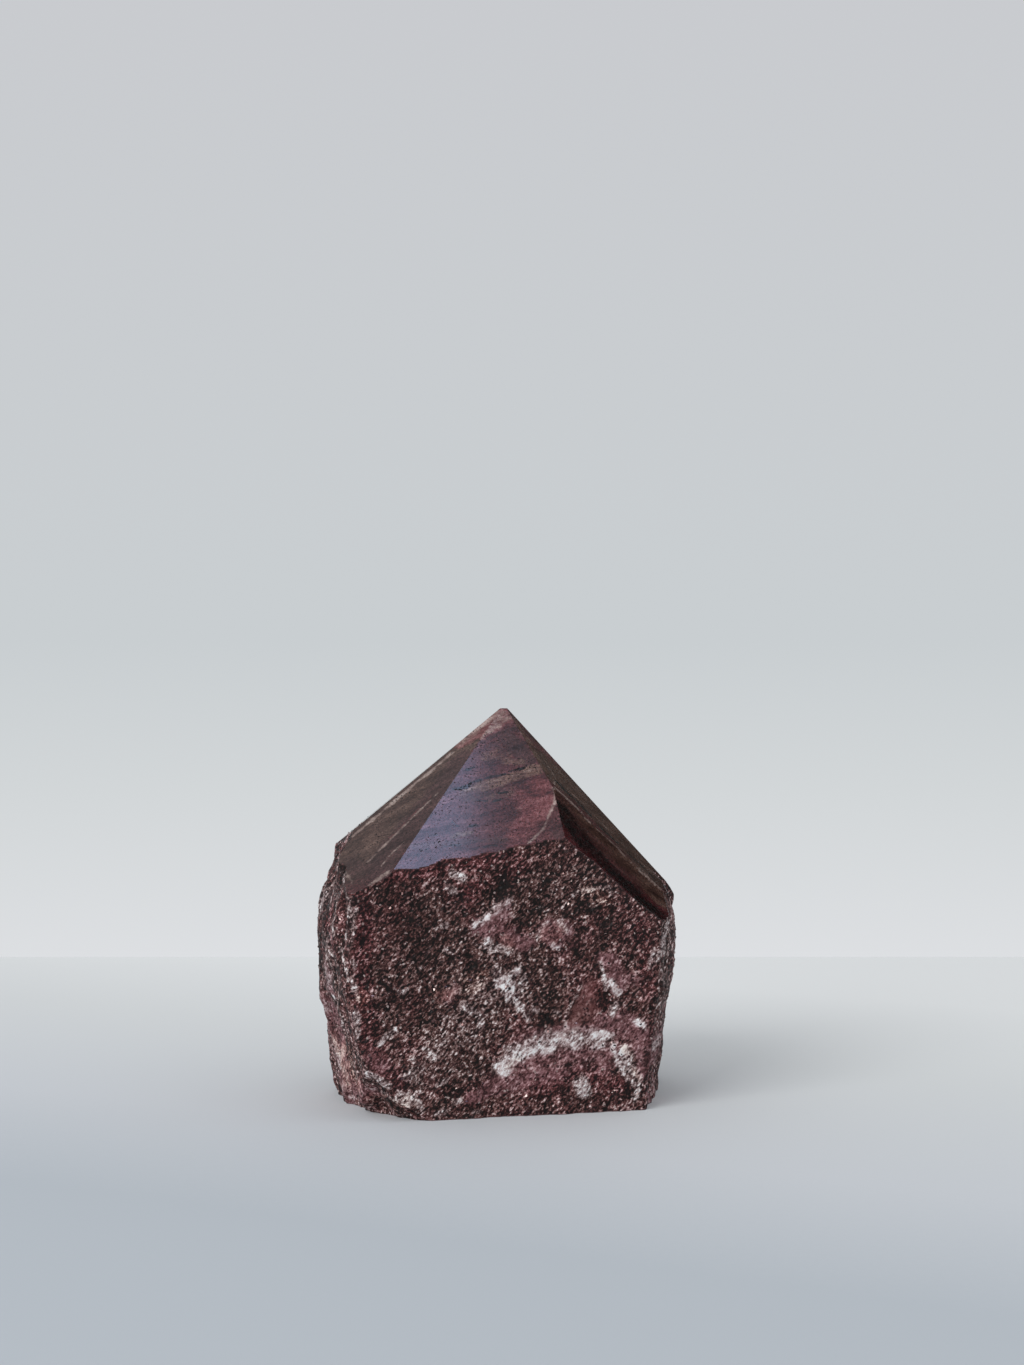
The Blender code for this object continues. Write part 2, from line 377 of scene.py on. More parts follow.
    *draw(Side.RIGHT, Tint.DARK, (200, 50, -60, 200, -30, 240)),
    *draw(Side.RIGHT, Tint.OLIVE, (155, 50, -66, 299, -88, 208, -37, 104)),
    *draw(Side.UPPER_RIGHT, Tint.OLIVE, (186, 100, -72, 283, -73, 261, -73, 245)),
    *draw(Side.UPPER_RIGHT, Tint.SMOOTH, (186, 100, -72, 283, -73, 261, -73, 245)),
    *draw(Side.RIGHT_BACK, Tint.PALE,
        (115, 62, 0, 120, 40, 105), (105, 62, 70, 100, 110, 110, 150, 100),
        (85, 62, 30, 270, 50, 310)),
    *draw(Side.RIGHT_BACK, Tint.ROSE,
        (260, 85, 0, 120, 70, 100, 130, 120), (200, 80, 100, 260, 120, 290)),
    *draw(Side.RIGHT_BACK, Tint.WINE, (250, 90, -40, 350, 40, 370, 120, 360)),
    *draw(Side.BACK_RIGHT_CORNER, Tint.PALE, (115, 62, -60, 100, 0, 110, 50, 90)),
    *draw(Side.BACK_RIGHT_CORNER, Tint.ROSE, (240, 80, -50, 110, 40, 90)),
    *draw(Side.BACK_RIGHT_CORNER, Tint.DARK, (160, 60, -20, 220, 10, 280)),
    *draw(Side.BACK, Tint.PALE,
        (115, 62, -170, 90, -110, 110, -60, 90), (95, 62, -40, 90, 10, 120, 50, 170),
        (85, 62, 70, 200, 100, 240, 150, 260), (95, 62, -130, 280, -100, 310),
        (160, 60, 110, 110, 130, 80, 150, 80), (320, 35, -20, 200, 40, 240)),
    *draw(Side.BACK, Tint.ROSE,
        (260, 80, -150, 80, -70, 80, 0, 90), (220, 90, 60, 300, 110, 330),
        (180, 80, -120, 270, -90, 300)),
    *draw(Side.BACK, Tint.TAN, (140, 60, 0, 300, 40, 330)),
    *draw(Side.BACK, Tint.WINE, (260, 90, -160, 370, -40, 400, 100, 400)),
    *draw(Side.BACK, Tint.DARK, (240, 50, -60, 180, -100, 210), (180, 50, 130, 170, 150, 210)),
    *draw(Side.BACK_LEFT_CORNER, Tint.PALE, (95, 62, -70, 240, -20, 270, 30, 280)),
    *draw(Side.BACK_LEFT_CORNER, Tint.ROSE, (220, 80, -40, 100, 20, 130)),
    *draw(Side.BACK_LEFT_CORNER, Tint.DARK, (160, 60, -50, 320, 0, 340)),
    *draw(Side.BACK_LEFT, Tint.PALE,
        (105, 62, -80, 280, -20, 300, 60, 290), (120, 80, -20, 150, 10, 140)),
    *draw(Side.BACK_LEFT, Tint.ROSE, (240, 80, -60, 140, 20, 160)),
    *draw(Side.BACK_LEFT, Tint.DARK, (160, 60, 40, 220, 60, 260)),
    *draw(Side.BACK_LEFT, Tint.OLIVE, (300, 70, -60, 380, 40, 380)),
    *draw(Side.POINT_RIGHT_BACK, Tint.PALE, (45, 42, -80, 80, -50, 200, -10, 330)),
    *draw(Side.POINT_RIGHT_BACK, Tint.ROSE, (200, 70, 60, 120, 80, 160), (300, 90, 0, 450)),
    *draw(Side.POINT_RIGHT_BACK, Tint.TAN, (100, 60, 20, 140, 30, 240)),
    *draw(Side.POINT_RIGHT_BACK, Tint.OLIVE, (450, 100, -100, 120, -60, 240, -20, 360)),
    *draw(Side.POINT_BACK, Tint.PALE, (45, 42, -20, 140, 30, 180, 90, 200)),
    *draw(Side.POINT_BACK, Tint.ROSE, (300, 90, 0, 420)),
    *draw(Side.POINT_BACK, Tint.WINE, (250, 80, 40, 120, 80, 140)),
    *draw(Side.POINT_BACK, Tint.OLIVE, (400, 90, -90, 120, -50, 220, -20, 340)),
    *draw(Side.POINT_BACK_LEFT, Tint.PALE, (45, 42, -90, 190, -30, 220, 30, 280)),
    *draw(Side.POINT_BACK_LEFT, Tint.ROSE, (220, 70, 40, 140, 70, 170), (300, 90, 0, 410)),
    *draw(Side.POINT_BACK_LEFT, Tint.TAN, (100, 60, -90, 180, -30, 210, 30, 270)),
    *draw(Side.POINT_BACK_LEFT, Tint.OLIVE, (350, 80, -80, 100, -40, 120)),
    *draw(Side.POINT_LEFT_BACK, Tint.PALE, (45, 42, 80, 120, 50, 220, 20, 330)),
    *draw(Side.POINT_LEFT_BACK, Tint.ROSE, (300, 90, 0, 400)),
    *draw(Side.POINT_LEFT_BACK, Tint.WINE, (250, 80, -60, 140, -20, 240)),
    *draw(Side.POINT_LEFT_BACK, Tint.OLIVE, (600, 95, 100, 140, 50, 260, 20, 380)),
)

# How far in mm each tint stands out from the broken sides.
RELIEF = {Tint.ROSE: 0.2, Tint.PALE: 0.12, Tint.SMOOTH: -0.15, Tint.DARK: -0.22}
SEED_SHIFT = np.array((1.0, 1.7, 0.6))


def smooth_step(low: float, high: float, value: np.ndarray) -> np.ndarray:
    """Rise smoothly from 0 at low to 1 at high."""
    share = np.clip((value - low) / (high - low), 0.0, 1.0)
    return share * share * (3.0 - 2.0 * share)


def noise_at(places: np.ndarray) -> np.ndarray:
    """Give smooth noise from about -1 to 1, one value for each row of places."""
    return np.array([noise.noise(Vector(place)) for place in places.tolist()])


def ripple(points: np.ndarray, size: float, seed: float = 0.0) -> np.ndarray:
    """Give smooth noise from about -1 to 1.

    Args:
        points: Positions in mm.
        size: Size of the swells in mm.
        seed: Shifts the pattern.

    Returns:
        One value for each point.
    """
    return noise_at(points / size + SEED_SHIFT * seed)


def add_object(name: str, data: Any) -> bpy.types.Object:
    """Put a mesh, lamp or lens into the scene under a name."""
    thing = bpy.data.objects.new(name, data)
    bpy.context.scene.collection.objects.link(thing)
    return thing


def take_mesh(thing: bpy.types.Object) -> bpy.types.Mesh:
    """Take an object out of the scene and keep its mesh.

    Args:
        thing: The object.

    Returns:
        The mesh as the object's modifiers leave it.
    """
    bpy.context.view_layer.update()
    graph = bpy.context.evaluated_depsgraph_get()
    mesh = bpy.data.meshes.new_from_object(thing.evaluated_get(graph))
    bpy.data.objects.remove(thing)
    return mesh


@dataclass(frozen=True)
class Layers:
    """The thin layers of the rock. They lie nearly along the front.

    Args:
        normal: The direction across them.
        length: How many times longer than thick their pattern is.
        cut: Where a surface starts and ends to count as cutting across them, from 0 to 1.
    """

    normal: Place = (-0.328, 0.940, 0.095)
    length: float = 5.0
    cut: tuple[float, float] = (0.03, 0.35)

    def axes(self) -> np.ndarray:
        """Find the directions of the layers.

        Returns:
            As rows, two directions along them, shortened by their length, and the one across.
        """
        across = np.array(self.normal) / np.linalg.norm(self.normal)
        level = np.cross((0.0, 0.0, 1.0), across)
        level /= np.linalg.norm(level)
        return np.array((level / self.length, np.cross(across, level) / self.length, across))

    def squeeze(self, points: np.ndarray) -> np.ndarray:
        """Give points with the length of the layers shortened to the measure of their thickness."""
        return points @ self.axes().T

    def crossing(self, normals: np.ndarray) -> np.ndarray:
        """Tell how far a surface with these normals cuts across the layers, from 0 to 1."""
        return smooth_step(*self.cut, 1 - np.abs(normals @ self.axes()[2]))


@dataclass(frozen=True)
class Hold:
    """Where a rough side holds its marks.

    Args:
        facing: Where the marks fade in as the surface turns to the side, from 0 to 1.
        deep: Distance in mm from the flat of the side at which they have faded out.
        fade: The last mm of that distance, over which they fade.
    """

    facing: tuple[float, float] = (0.35, 0.6)
    deep: float = 2.6
    fade: float = 0.8

    def share(self, cut: Cut, points: np.ndarray, normals: np.ndarray) -> np.ndarray:
        """Give how much of its marks the side holds at each point.

        Args:
            cut: The side.
            points: The points in mm from the foot of the axis.
            normals: Their normals.

        Returns:
            Shares from 0 to 1.
        """
        facing = smooth_step(*self.facing, normals @ cut.outward())
        off = np.abs(points @ cut.outward() - cut.reach)
        return facing * (1 - smooth_step(self.deep - self.fade, self.deep, off))


@dataclass
class StoneShape:
    """The stone's mesh: rough sides with real relief, ground flats and a sawn foot.

    Args:
        cube: Edge length in mm of the cube that is cut.
        grid: Edge length of the faces in mm.
        stock: What grinding takes off in mm.
        axis_foot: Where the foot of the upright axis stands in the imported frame, in mm.
        lumps: Size and height in mm of the broad swells.
        ledges: Size and height in mm of the stepped breaks.
        ledge_steps: How many treads the breaks have.
        ledge_tread: The share of each step that is flat.
        ledge_stretch: How many times longer the breaks are upright.
        grit: Size and height in mm of the small bumps.
        calm_front: How much of the swells and breaks the front keeps.
        front_facing: Where a surface starts and ends to count as the front.
        noise_origin: Shifts the swells and breaks.
        grains: Sizes and heights in mm of the finest bumps.
        strands: Sizes and heights in mm of the ridges along the layers.
        seeds: What the sizes of grains and strands are multiplied by to shift their patterns.
        corner: Over how many mm the directions of two sides blend.
        farthest: How many mm further away a side still counts in the blend.
        depth: Where in mm under the surface the relief starts and ends.
        crease: Within how many mm of a second flat a point is moved onto the edge.
        settle: How often points are brought back onto the flats.
        exact: How many mm outside a flat a point may stay.
        merge: Within how many mm points become one.
        sole: Up to what height in mm a level face belongs to the sawn foot.
        holds: Where the wide left side and the other rough ones hold their marks.
        thinnest: Half the width in mm of the thinnest mark that the faces can show.
        fading: Over what share of half its width a mark fades.
        sharpest: The least that a mark fades over on the flats, in mm.
        blurring: How much further a mark fades on the rough sides, in mm.
        thin_waves: The share of the waves in its edge that the thinnest mark keeps.
        wide_waves: What each mm of half width adds to that share.
        rough_edge: Sizes, seeds and heights in mm of the waves in a mark's edge where it is rough.
        ground_edge: The same on the flats.
        layers: The rock's layers.
        points: The mesh's points in mm from the foot of the axis.
    """

    cube: float = 200.0
    grid: float = 0.37
    stock: float = 0.6
    axis_foot: Place = (1.245, 1.844, 0.4)
    lumps: tuple[float, float] = (14.0, 0.75)
    ledges: tuple[float, float] = (7.0, 1.1)
    ledge_steps: int = 3
    ledge_tread: float = 0.7
    ledge_stretch: float = 2.4
    grit: tuple[float, float] = (2.6, 0.32)
    calm_front: float = 0.4
    front_facing: tuple[float, float] = (0.75, 1.0)
    noise_origin: Place = (3.7, 11.2, 5.9)
    grains: tuple[tuple[float, float], ...] = ((1.3, 0.09), (0.8, 0.07))
    strands: tuple[tuple[float, float], ...] = ((2.6, 0.75), (1.1, 0.3))
    seeds: tuple[float, float] = (31.0, 17.0)
    corner: float = 0.7
    farthest: float = 20.0
    depth: tuple[float, float] = (-3.0, -0.3)
    crease: float = 0.11
    settle: int = 40
    exact: float = 1e-5
    merge: float = 0.05
    sole: float = 0.02
    holds: tuple[Hold, Hold] = (Hold((0.1, 0.35), 6.0), Hold())
    thinnest: float = 0.2
    fading: float = 0.5
    sharpest: float = 0.17
    blurring: float = 0.3
    thin_waves: float = 0.35
    wide_waves: float = 0.6
    rough_edge: tuple[Place, ...] = ((0.8, 3.0, 0.55), (1.9, 8.0, 0.6))
    ground_edge: tuple[Place, ...] = ((0.9, 5.0, 0.3), (2.6, 9.0, 0.4))
    layers: Layers = Layers()
    points: np.ndarray = field(default_factory=lambda: np.zeros((0, 3)))

    def cut_block(self) -> bpy.types.Object:
        """Cut a cube down to the rough sides and to a little more than the ground flats."""
        shape = bmesh.new()
        bmesh.ops.create_cube(shape, size=self.cube * MM)
        for side in Side.cutting():
            outward = Vector(side.value.outward().tolist())
            reach = side.value.reach + (self.stock if side.ground else 0.0)
            sliced = bmesh.ops.bisect_plane(
                shape,
                geom=shape.verts[:] + shape.edges[:] + shape.faces[:],
                plane_co=outward * reach * MM,
                plane_no=outward,
                clear_outer=True,
            )
            rim = [item for item in sliced["geom_cut"] if isinstance(item, bmesh.types.BMEdge)]
            if rim:
                bmesh.ops.edgeloop_fill(shape, edges=rim)
        bmesh.ops.recalc_face_normals(shape, faces=shape.faces[:])
        mesh = bpy.data.meshes.new("stone block")
        shape.to_mesh(mesh)
        shape.free()
        return add_object("stone block", mesh)

    def even_mesh(self) -> bpy.types.Mesh:
        """Give the block's mesh in small even faces."""
        block = self.cut_block()
        remesh = block.modifiers.new("even faces", "REMESH")
        remesh.mode = "VOXEL"
        remesh.voxel_size = self.grid * MM
        return take_mesh(block)

    def rough_direction(self) -> tuple[np.ndarray, np.ndarray]:
        """Blend the outward directions of the nearest rough sides.

        Returns:
            A direction for each point, and how far the point lies outside the nearest side in mm.
        """
        rough = [side.value for side in Side.cutting() if not side.ground]
        outward = np.array([cut.outward() for cut in rough])
        gaps = self.points @ outward.T - np.array([cut.reach for cut in rough])
        outside = gaps.max(axis=1, keepdims=True)
        blend = np.exp(np.clip(gaps - outside, -self.farthest, 0) / self.corner) @ outward
        blend /= np.linalg.norm(blend, axis=1, keepdims=True)
        return blend, outside[:, 0]

    def broken_height(self, calm: np.ndarray) -> np.ndarray:
        """Give the height of the broken surface in mm: swells, stepped ledges and grit.

        Args:
            calm: How much of the swells and ledges each point keeps.

        Returns:
            One height for each point.
        """
        origin = np.array(self.noise_origin)
        swell = noise_at(self.points / self.lumps[0] + origin)
        squeezed = self.points / np.array((1.0, 1.0, self.ledge_stretch)) / self.ledges[0]
        scaled = (noise_at(squeezed - origin) + 1) * 0.5 * self.ledge_steps
        tread = np.floor(scaled)
        rise = np.clip((scaled - tread - self.ledge_tread) / (1 - self.ledge_tread), 0.0, 1.0)
        stepped = (tread + rise) / self.ledge_steps * 2 - 1
        broad = swell * self.lumps[1] + stepped * self.ledges[1]
        return broad * calm + ripple(self.points, self.grit[0]) * self.grit[1]

    def break_sides(self) -> None:
        """Push the rough sides in and out, and carry the rim of the stock along with them."""
        direction, outside = self.rough_direction()
        front = smooth_step(*self.front_facing, direction @ Side.FRONT.value.outward())
        height = self.broken_height(1 + (self.calm_front - 1) * front)
        for size, tall in self.grains:
            height += ripple(self.points, size, size * self.seeds[0]) * tall
        crossing = self.layers.crossing(direction)
        for size, tall in self.strands:
            ridges = ripple(self.layers.squeeze(self.points), size, size * self.seeds[1])
            height += ridges * tall * crossing
        height *= smooth_step(*self.depth, outside)
        self.points = self.points + direction * height[:, None]

    def grind(self) -> tuple[np.ndarray, np.ndarray]:
        """Grind the point and saw the foot: bring every point outside the flats onto them.

        Returns:
            Whether each point was ground, and the number of its flat.
        """
        cuts = [side.value for side in Side.flats()]
        outward = np.array([cut.outward() for cut in cuts])
        reach = np.array([cut.reach for cut in cuts])
        gaps = self.points @ outward.T - reach
        flat = gaps.argmax(axis=1)
        ground = gaps.max(axis=1) > 0
        self.points[ground] -= (outward[flat] * gaps.max(axis=1)[:, None])[ground]
        self.sharpen(ground, outward, reach)
        for _ in range(self.settle):
            gaps = self.points @ outward.T - reach
            over = gaps.max(axis=1) > self.exact
            push = outward[gaps.argmax(axis=1)] * gaps.max(axis=1)[:, None]
            self.points[over] -= push[over]
        return ground, flat

    def sharpen(self, ground: np.ndarray, outward: np.ndarray, reach: np.ndarray) -> None:
        """Move the ground points that lie close to an edge between two flats onto the edge.

        Args:
            ground: Whether each point was ground.
            outward: The directions of the flats, as rows.
            reach: Their distances from the foot of the axis in mm.
        """
        gaps = self.points @ outward.T - reach
        order = np.argsort(-gaps, axis=1)
        rows = np.arange(len(gaps))
        first, second = order[:, 0], order[:, 1]
        near = ground & (gaps[rows, second] > -self.crease)
        one, two = outward[first[near]], outward[second[near]]
        gap_one, gap_two = gaps[rows, first][near], gaps[rows, second][near]
        shared = (one * two).sum(axis=1)
        scale = 1 - shared**2
        step_one = (gap_one - shared * gap_two) / scale
        step_two = (gap_two - shared * gap_one) / scale
        self.points[near] -= one * step_one[:, None] + two * step_two[:, None]

    def tint_maps(
        self, ground: np.ndarray, flat: np.ndarray, normals: np.ndarray
    ) -> dict[Tint, np.ndarray]:
        """Spread the marks over the points.

        Args:
            ground: Whether each point was ground.
            flat: The number of each point's flat.
            normals: The mesh normals.

        Returns:
            For each tint, its strength at each point.
        """
        ragged, fine = (
            sum(ripple(self.points, size, seed) * tall for size, seed, tall in waves)
            for waves in (self.rough_edge, self.ground_edge)
        )
        wide, narrow = self.holds
        maps = {tint: np.zeros(len(self.points)) for tint in Tint}
        for mark in MARKS:
            cut = mark.side.value
            reach = max(mark.reach, self.thinnest)
            if mark.side.ground:
                held = (ground & (flat == Side.flats().index(mark.side))).astype(float)
                warp, soft = fine, max(self.sharpest, self.fading * reach)
            else:
                hold = wide if mark.side is Side.LEFT else narrow
                held = hold.share(cut, self.points, normals) * ~ground
                warp, soft = ragged, self.blurring + self.fading * reach
            gap = mark.distance(self.points @ cut.across(), self.points @ cut.upward())
            gap = gap + warp * min(1.0, self.thin_waves + reach * self.wide_waves)
            shown = smooth_step(-soft, soft, reach - gap) * mark.strength * held
            maps[mark.tint] = np.maximum(maps[mark.tint], shown)
        return maps

    def set_faces(self, mesh: bpy.types.Mesh, ground: np.ndarray) -> None:
        """Shade the flats flat and the broken sides smooth.

        Args:
            mesh: The stone's mesh.
            ground: Whether each point was ground.
        """
        corners = np.empty(len(mesh.loops), np.int32)
        mesh.loops.foreach_get("vertex_index", corners)
        starts = np.empty(len(mesh.polygons), np.int32)
        mesh.polygons.foreach_get("loop_start", starts)
        all_ground = np.minimum.reduceat(ground[corners].astype(int), starts) > 0
        mesh.polygons.foreach_set("use_smooth", ~all_ground)

    def build(self) -> bpy.types.Object:
        """Build the stone's mesh with its tint attributes.

        Returns:
            The finished object, without a material.
        """
        mesh = self.even_mesh()
        flat_list = np.empty(len(mesh.vertices) * 3, np.float32)
        mesh.vertices.foreach_get("co", flat_list)
        self.points = flat_list.reshape(-1, 3).astype(float) / MM
        self.break_sides()
        ground, flat = self.grind()
        self.store(mesh)
        normals = self.normals(mesh)
        maps = self.tint_maps(ground, flat, normals)
        height = sum(maps[tint] * tall for tint, tall in RELIEF.items())
        self.points += normals * (height * ~ground)[:, None]
        self.points[:, 2] = np.maximum(self.points[:, 2], -Side.FOOT.value.reach)
        self.store(mesh)
        self.set_faces(mesh, ground)
        foot = ground & (flat == Side.flats().index(Side.FOOT))
        self.attribute(mesh, "polish", (ground & ~foot).astype(float))
        self.attribute(mesh, "sawn", foot.astype(float))
        self.attribute(mesh, "crossing", self.layers.crossing(normals))
        for tint, strength in maps.items():
            self.attribute(mesh, tint.value, strength)
        stone = add_object("stone_dressed", mesh)
        self.clean(mesh)
        return stone

    def store(self, mesh: bpy.types.Mesh) -> None:
        """Write the points into the mesh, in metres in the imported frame.

        Args:
            mesh: The stone's mesh.
        """
        placed = (self.points + np.array(self.axis_foot)) * MM
        mesh.vertices.foreach_set("co", placed.astype(np.float32).ravel())
        mesh.update()

    def normals(self, mesh: bpy.types.Mesh) -> np.ndarray:
        """Read the directions that the points of the mesh face.

        Args:
            mesh: The stone's mesh.

        Returns:
            One normal for each point.
        """
        found = np.empty(len(mesh.vertices) * 3, np.float32)
        mesh.vertex_normals.foreach_get("vector", found)
        return found.reshape(-1, 3).astype(float)

    def attribute(self, mesh: bpy.types.Mesh, name: str, values: np.ndarray) -> None:
        """Store one number for each point of the mesh under a name."""
        layer = mesh.attributes.new(name, "FLOAT", "POINT")
        layer.data.foreach_set("value", values.astype(np.float32))

    def clean(self, mesh: bpy.types.Mesh) -> None:
        """Merge points that grinding brought together, and make the sawn foot one face.

        Args:
            mesh: The stone's mesh.
        """
        shape = bmesh.new()
        shape.from_mesh(mesh)
        bmesh.ops.remove_doubles(shape, verts=shape.verts[:], dist=self.merge * MM)
        straight_down = -0.999
        under = [
            face
            for face in shape.faces
            if face.normal.z < straight_down and face.calc_center_median().z < self.sole * MM
        ]
        bmesh.ops.dissolve_faces(shape, faces=under, use_verts=False)
        shape.to_mesh(mesh)
        shape.free()


def srgb(code: str) -> Colour:
    """Turn a colour code into the colour.

    Args:
        code: A code like 7a2b30.

    Returns:
        Its red, green and blue, in linear light.
    """
    parts = [int(code[i : i + 2], 16) / 255 for i in (0, 2, 4)]
    red, green, blue = (c / 12.92 if c <= 0.04045 else ((c + 0.055) / 1.055) ** 2.4 for c in parts)
    return red, green, blue


Number = Union[float, "Wire"]


class Wire:
    """A socket in a node tree whose arithmetic adds Math nodes."""

    def __init__(self, nodes: "Nodes", socket: bpy.types.NodeSocket) -> None:
        """Hold a socket of a tree."""
        self.nodes = nodes
        self.socket = socket

    def maths(self, operation: str, *values: Number, clamp: bool = False) -> "Wire":
        """Add one Math node and give its result."""
        settings = {"operation": operation, "use_clamp": clamp}
        return self.nodes.add("ShaderNodeMath", settings, *values)

    def __add__(self, other: Number) -> "Wire":
        """Add a number or a wire."""
        return self.maths("ADD", self, other)

    __radd__ = __add__

    def __sub__(self, other: Number) -> "Wire":
        """Take away a number or a wire."""
        return self.maths("SUBTRACT", self, other)

    def __rsub__(self, other: Number) -> "Wire":
        """Take this wire away from a number."""
        return self.maths("SUBTRACT", other, self)

    def __mul__(self, other: Number) -> "Wire":
        """Multiply by a number or a wire."""
        return self.maths("MULTIPLY", self, other)

    __rmul__ = __mul__

    def sway(self, amount: float) -> "Wire":
        """Give noise from 0 to 1 as a swing to both sides of 0."""
        return (self - 0.5) * amount

    def limited(self) -> "Wire":
        """Hold the value between 0 and 1."""
        return self.maths("ADD", self, 0.0, clamp=True)

    def step(self, low: float, high: float) -> "Wire":
        """Rise smoothly from 0 at low to 1 at high."""
        smooth = {"interpolation_type": "SMOOTHSTEP"}
        return self.nodes.add("ShaderNodeMapRange", smooth, self, low, high, 0.0, 1.0)

    def sibling(self, out: Any) -> "Wire":
        """Give another output of the same node."""
        return Wire(self.nodes, self.socket.node.outputs[out])


class Nodes:
    """Adds nodes to one tree."""

    def __init__(self, tree: bpy.types.NodeTree) -> None:
        """Hold the tree."""
        self.tree = tree

    def join(self, socket: bpy.types.NodeSocket, value: Any) -> None:
        """Link or set a socket.

        Args:
            socket: An input of a node.
            value: The wire to link, or the value to set. None leaves the socket alone.
        """
        if isinstance(value, Wire):
            self.tree.links.new(value.socket, socket)
        elif isinstance(value, tuple) and socket.type == "RGBA":
            socket.default_value = (*value, 1.0)
        elif value is not None:
            socket.default_value = value

    def add(
        self,
        kind: str,
        settings: Optional[dict[str, Any]] = None,
        *values: Any,
        out: Any = 0,
        **named: Any,
    ) -> Wire:
        """Add one node.

        Args:
            kind: The node's type.
            settings: What is set on the node before its sockets.
            values: Values or wires for its first sockets, in order. None leaves one alone.
            out: Name or number of the socket to give back.
            named: Values or wires for sockets by name, with _ for a space.

        Returns:
            The wire from the output.
        """
        node = self.tree.nodes.new(kind)
        for key, value in (settings or {}).items():
            setattr(node, key, value)
        for number, value in enumerate(values):
            self.join(node.inputs[number], value)
        for name, value in named.items():
            self.join(node.inputs[name.replace("_", " ")], value)
        return Wire(self, node.outputs[out])


class Paint(Nodes):
    """Builds the nodes of one material or world."""

    def __init__(self, owner: Any, shader: str = "Principled BSDF") -> None:
        """Start with a new material or world and its own shader node.

        Args:
            owner: The material or world.
            shader: Name of its shader node.
        """
        owner.use_nodes = True
        super().__init__(owner.node_tree)
        self.owner = owner
        self.shader = self.tree.nodes[shader]

    def dot(self, where: Wire, axis: Any) -> Wire:
        """Measure a position along an axis."""
        settings = {"operation": "DOT_PRODUCT"}
        return self.add("ShaderNodeVectorMath", settings, where, tuple(axis), out="Value")

    def along(self, where: Wire, axes: Any) -> Wire:
        """Measure a position along three axes."""
        return self.add("ShaderNodeCombineXYZ", {}, *(self.dot(where, axis) for axis in axes))

    def attribute(self, name: str) -> Wire:
        """Read a point attribute of the mesh."""
        return self.add("ShaderNodeAttribute", {"attribute_name": name}, out="Fac")

    def noise(self, where: Wire, scale: float, detail: float = 2.0, roughness: float = 0.5) -> Wire:
        """Add smooth noise.

        Args:
            where: The position.
            scale: Swells for each unit of it.
            detail: How many finer layers are added.
            roughness: How strong each finer layer is.

        Returns:
            The noise, from about 0 to 1.
        """
        sizes = {"Scale": scale, "Detail": detail, "Roughness": roughness}
        return self.add("ShaderNodeTexNoise", {}, Vector=where, **sizes)

    def ramp(self, value: Wire, stops: Shades, tone: Callable[[str], Colour] = srgb) -> Wire:
        """Turn a value into a colour.

        Args:
            value: The value, from 0 to 1.
            stops: Places from 0 to 1 with colour codes.
            tone: Turns a code into a colour.

        Returns:
            The colour.
        """
        colour = self.add("ShaderNodeValToRGB", {}, value)
        bar = colour.socket.node.color_ramp.elements
        for _ in range(len(stops) - 2):
            bar.new(0.5)
        for element, (place, code) in zip(bar, stops):
            element.position = place
            element.color = (*tone(code), 1.0)
        return colour

    def mix(self, share: Number, first: Wire, second: Any, blend: str = "MIX") -> Wire:
        """Mix two colours.

        Args:
            share: How much of the second is taken.
            first: The first colour.
            second: The second colour.
            blend: How they are mixed.

        Returns:
            The mixed colour.
        """
        settings = {"data_type": "RGBA", "blend_type": blend}
        sockets_of_numbers = [None] * 5
        return self.add("ShaderNodeMix", settings, share, *sockets_of_numbers, first, second, out=2)

    def feed(self, **sockets: Any) -> None:
        """Set or link sockets of the shader by name, with _ for a space."""
        for name, value in sockets.items():
            self.join(self.shader.inputs[name.replace("_", " ")], value)


# The broken rock's colours, from its pores to its lightest grains.
GREY_ROCK = (
    (0.0, "0c0706"), (0.16, "1a0f0e"), (0.3, "2e1918"), (0.44, "452b29"),
    (0.6, "5f4543"), (0.74, "7f6865"), (0.88, "a69697"), (1.0, "cdc2c3"),
)  # fmt: skip
RED_ROCK = (
    (0.0, "0e0506"), (0.2, "260f10"), (0.4, "442021"),
    (0.6, "683c3e"), (0.8, "936b6e"), (1.0, "c4a3a6"),
)  # fmt: skip
PINK_ROCK = ((0.1, "2c1618"), (0.4, "57373a"), (0.7, "7a585d"), (1.0, "a88a8f"))
PALE_ROCK = ((0.1, "3a292a"), (0.35, "7e6b6c"), (0.6, "b2a3a5"), (0.9, "e4dcde"))
POLISHED_ROCK = ((0.1, "1e0a0b"), (0.4, "3c1719"), (0.65, "542729"), (0.95, "754648"))
SAWN_ROCK = ((0.3, "4a3133"), (0.7, "8a7172"))
MICA_PLATES = ((0.0, "1d1011"), (0.4, "4a2c2e"), (0.75, "84625f"), (1.0, "c4b0ab"))
PIT = "0d0706"
TAN_FILTER = (1.08, 0.9, 0.76)

# On the polished flats: how far each tint covers the rock, and its dark, middle and light shades.
POLISHED_TINTS = (
    (Tint.OLIVE, 0.88, "291b17", "47322a", "6a5348"),
    (Tint.WINE, 0.85, "200c0c", "3b2121", "5a3636"),
    (Tint.TAN, 0.7, "46302a", "6a4e44", "927666"),
    (Tint.ROSE, 0.66, "4c2022", "75383a", "a66e70"),
    (Tint.PALE, 0.7, "7a625c", "a08a82", "c4b4ac"),
)

# On the broken sides: what each tint does to the swing between pores and grains, to the
# lightness and to the redness.
CALMING = {Tint.PALE: 0.15, Tint.ROSE: 0.25, Tint.SMOOTH: 0.6}
LIGHTNESS = {
    Tint.PALE: 0.21, Tint.ROSE: 0.12, Tint.TAN: 0.14, Tint.SMOOTH: 0.06,
    Tint.OLIVE: 0.02, Tint.DARK: -0.2, Tint.WINE: -0.06,
}  # fmt: skip
REDNESS = {Tint.WINE: 0.6, Tint.ROSE: 0.2, Tint.PALE: -0.6, Tint.OLIVE: -0.5}


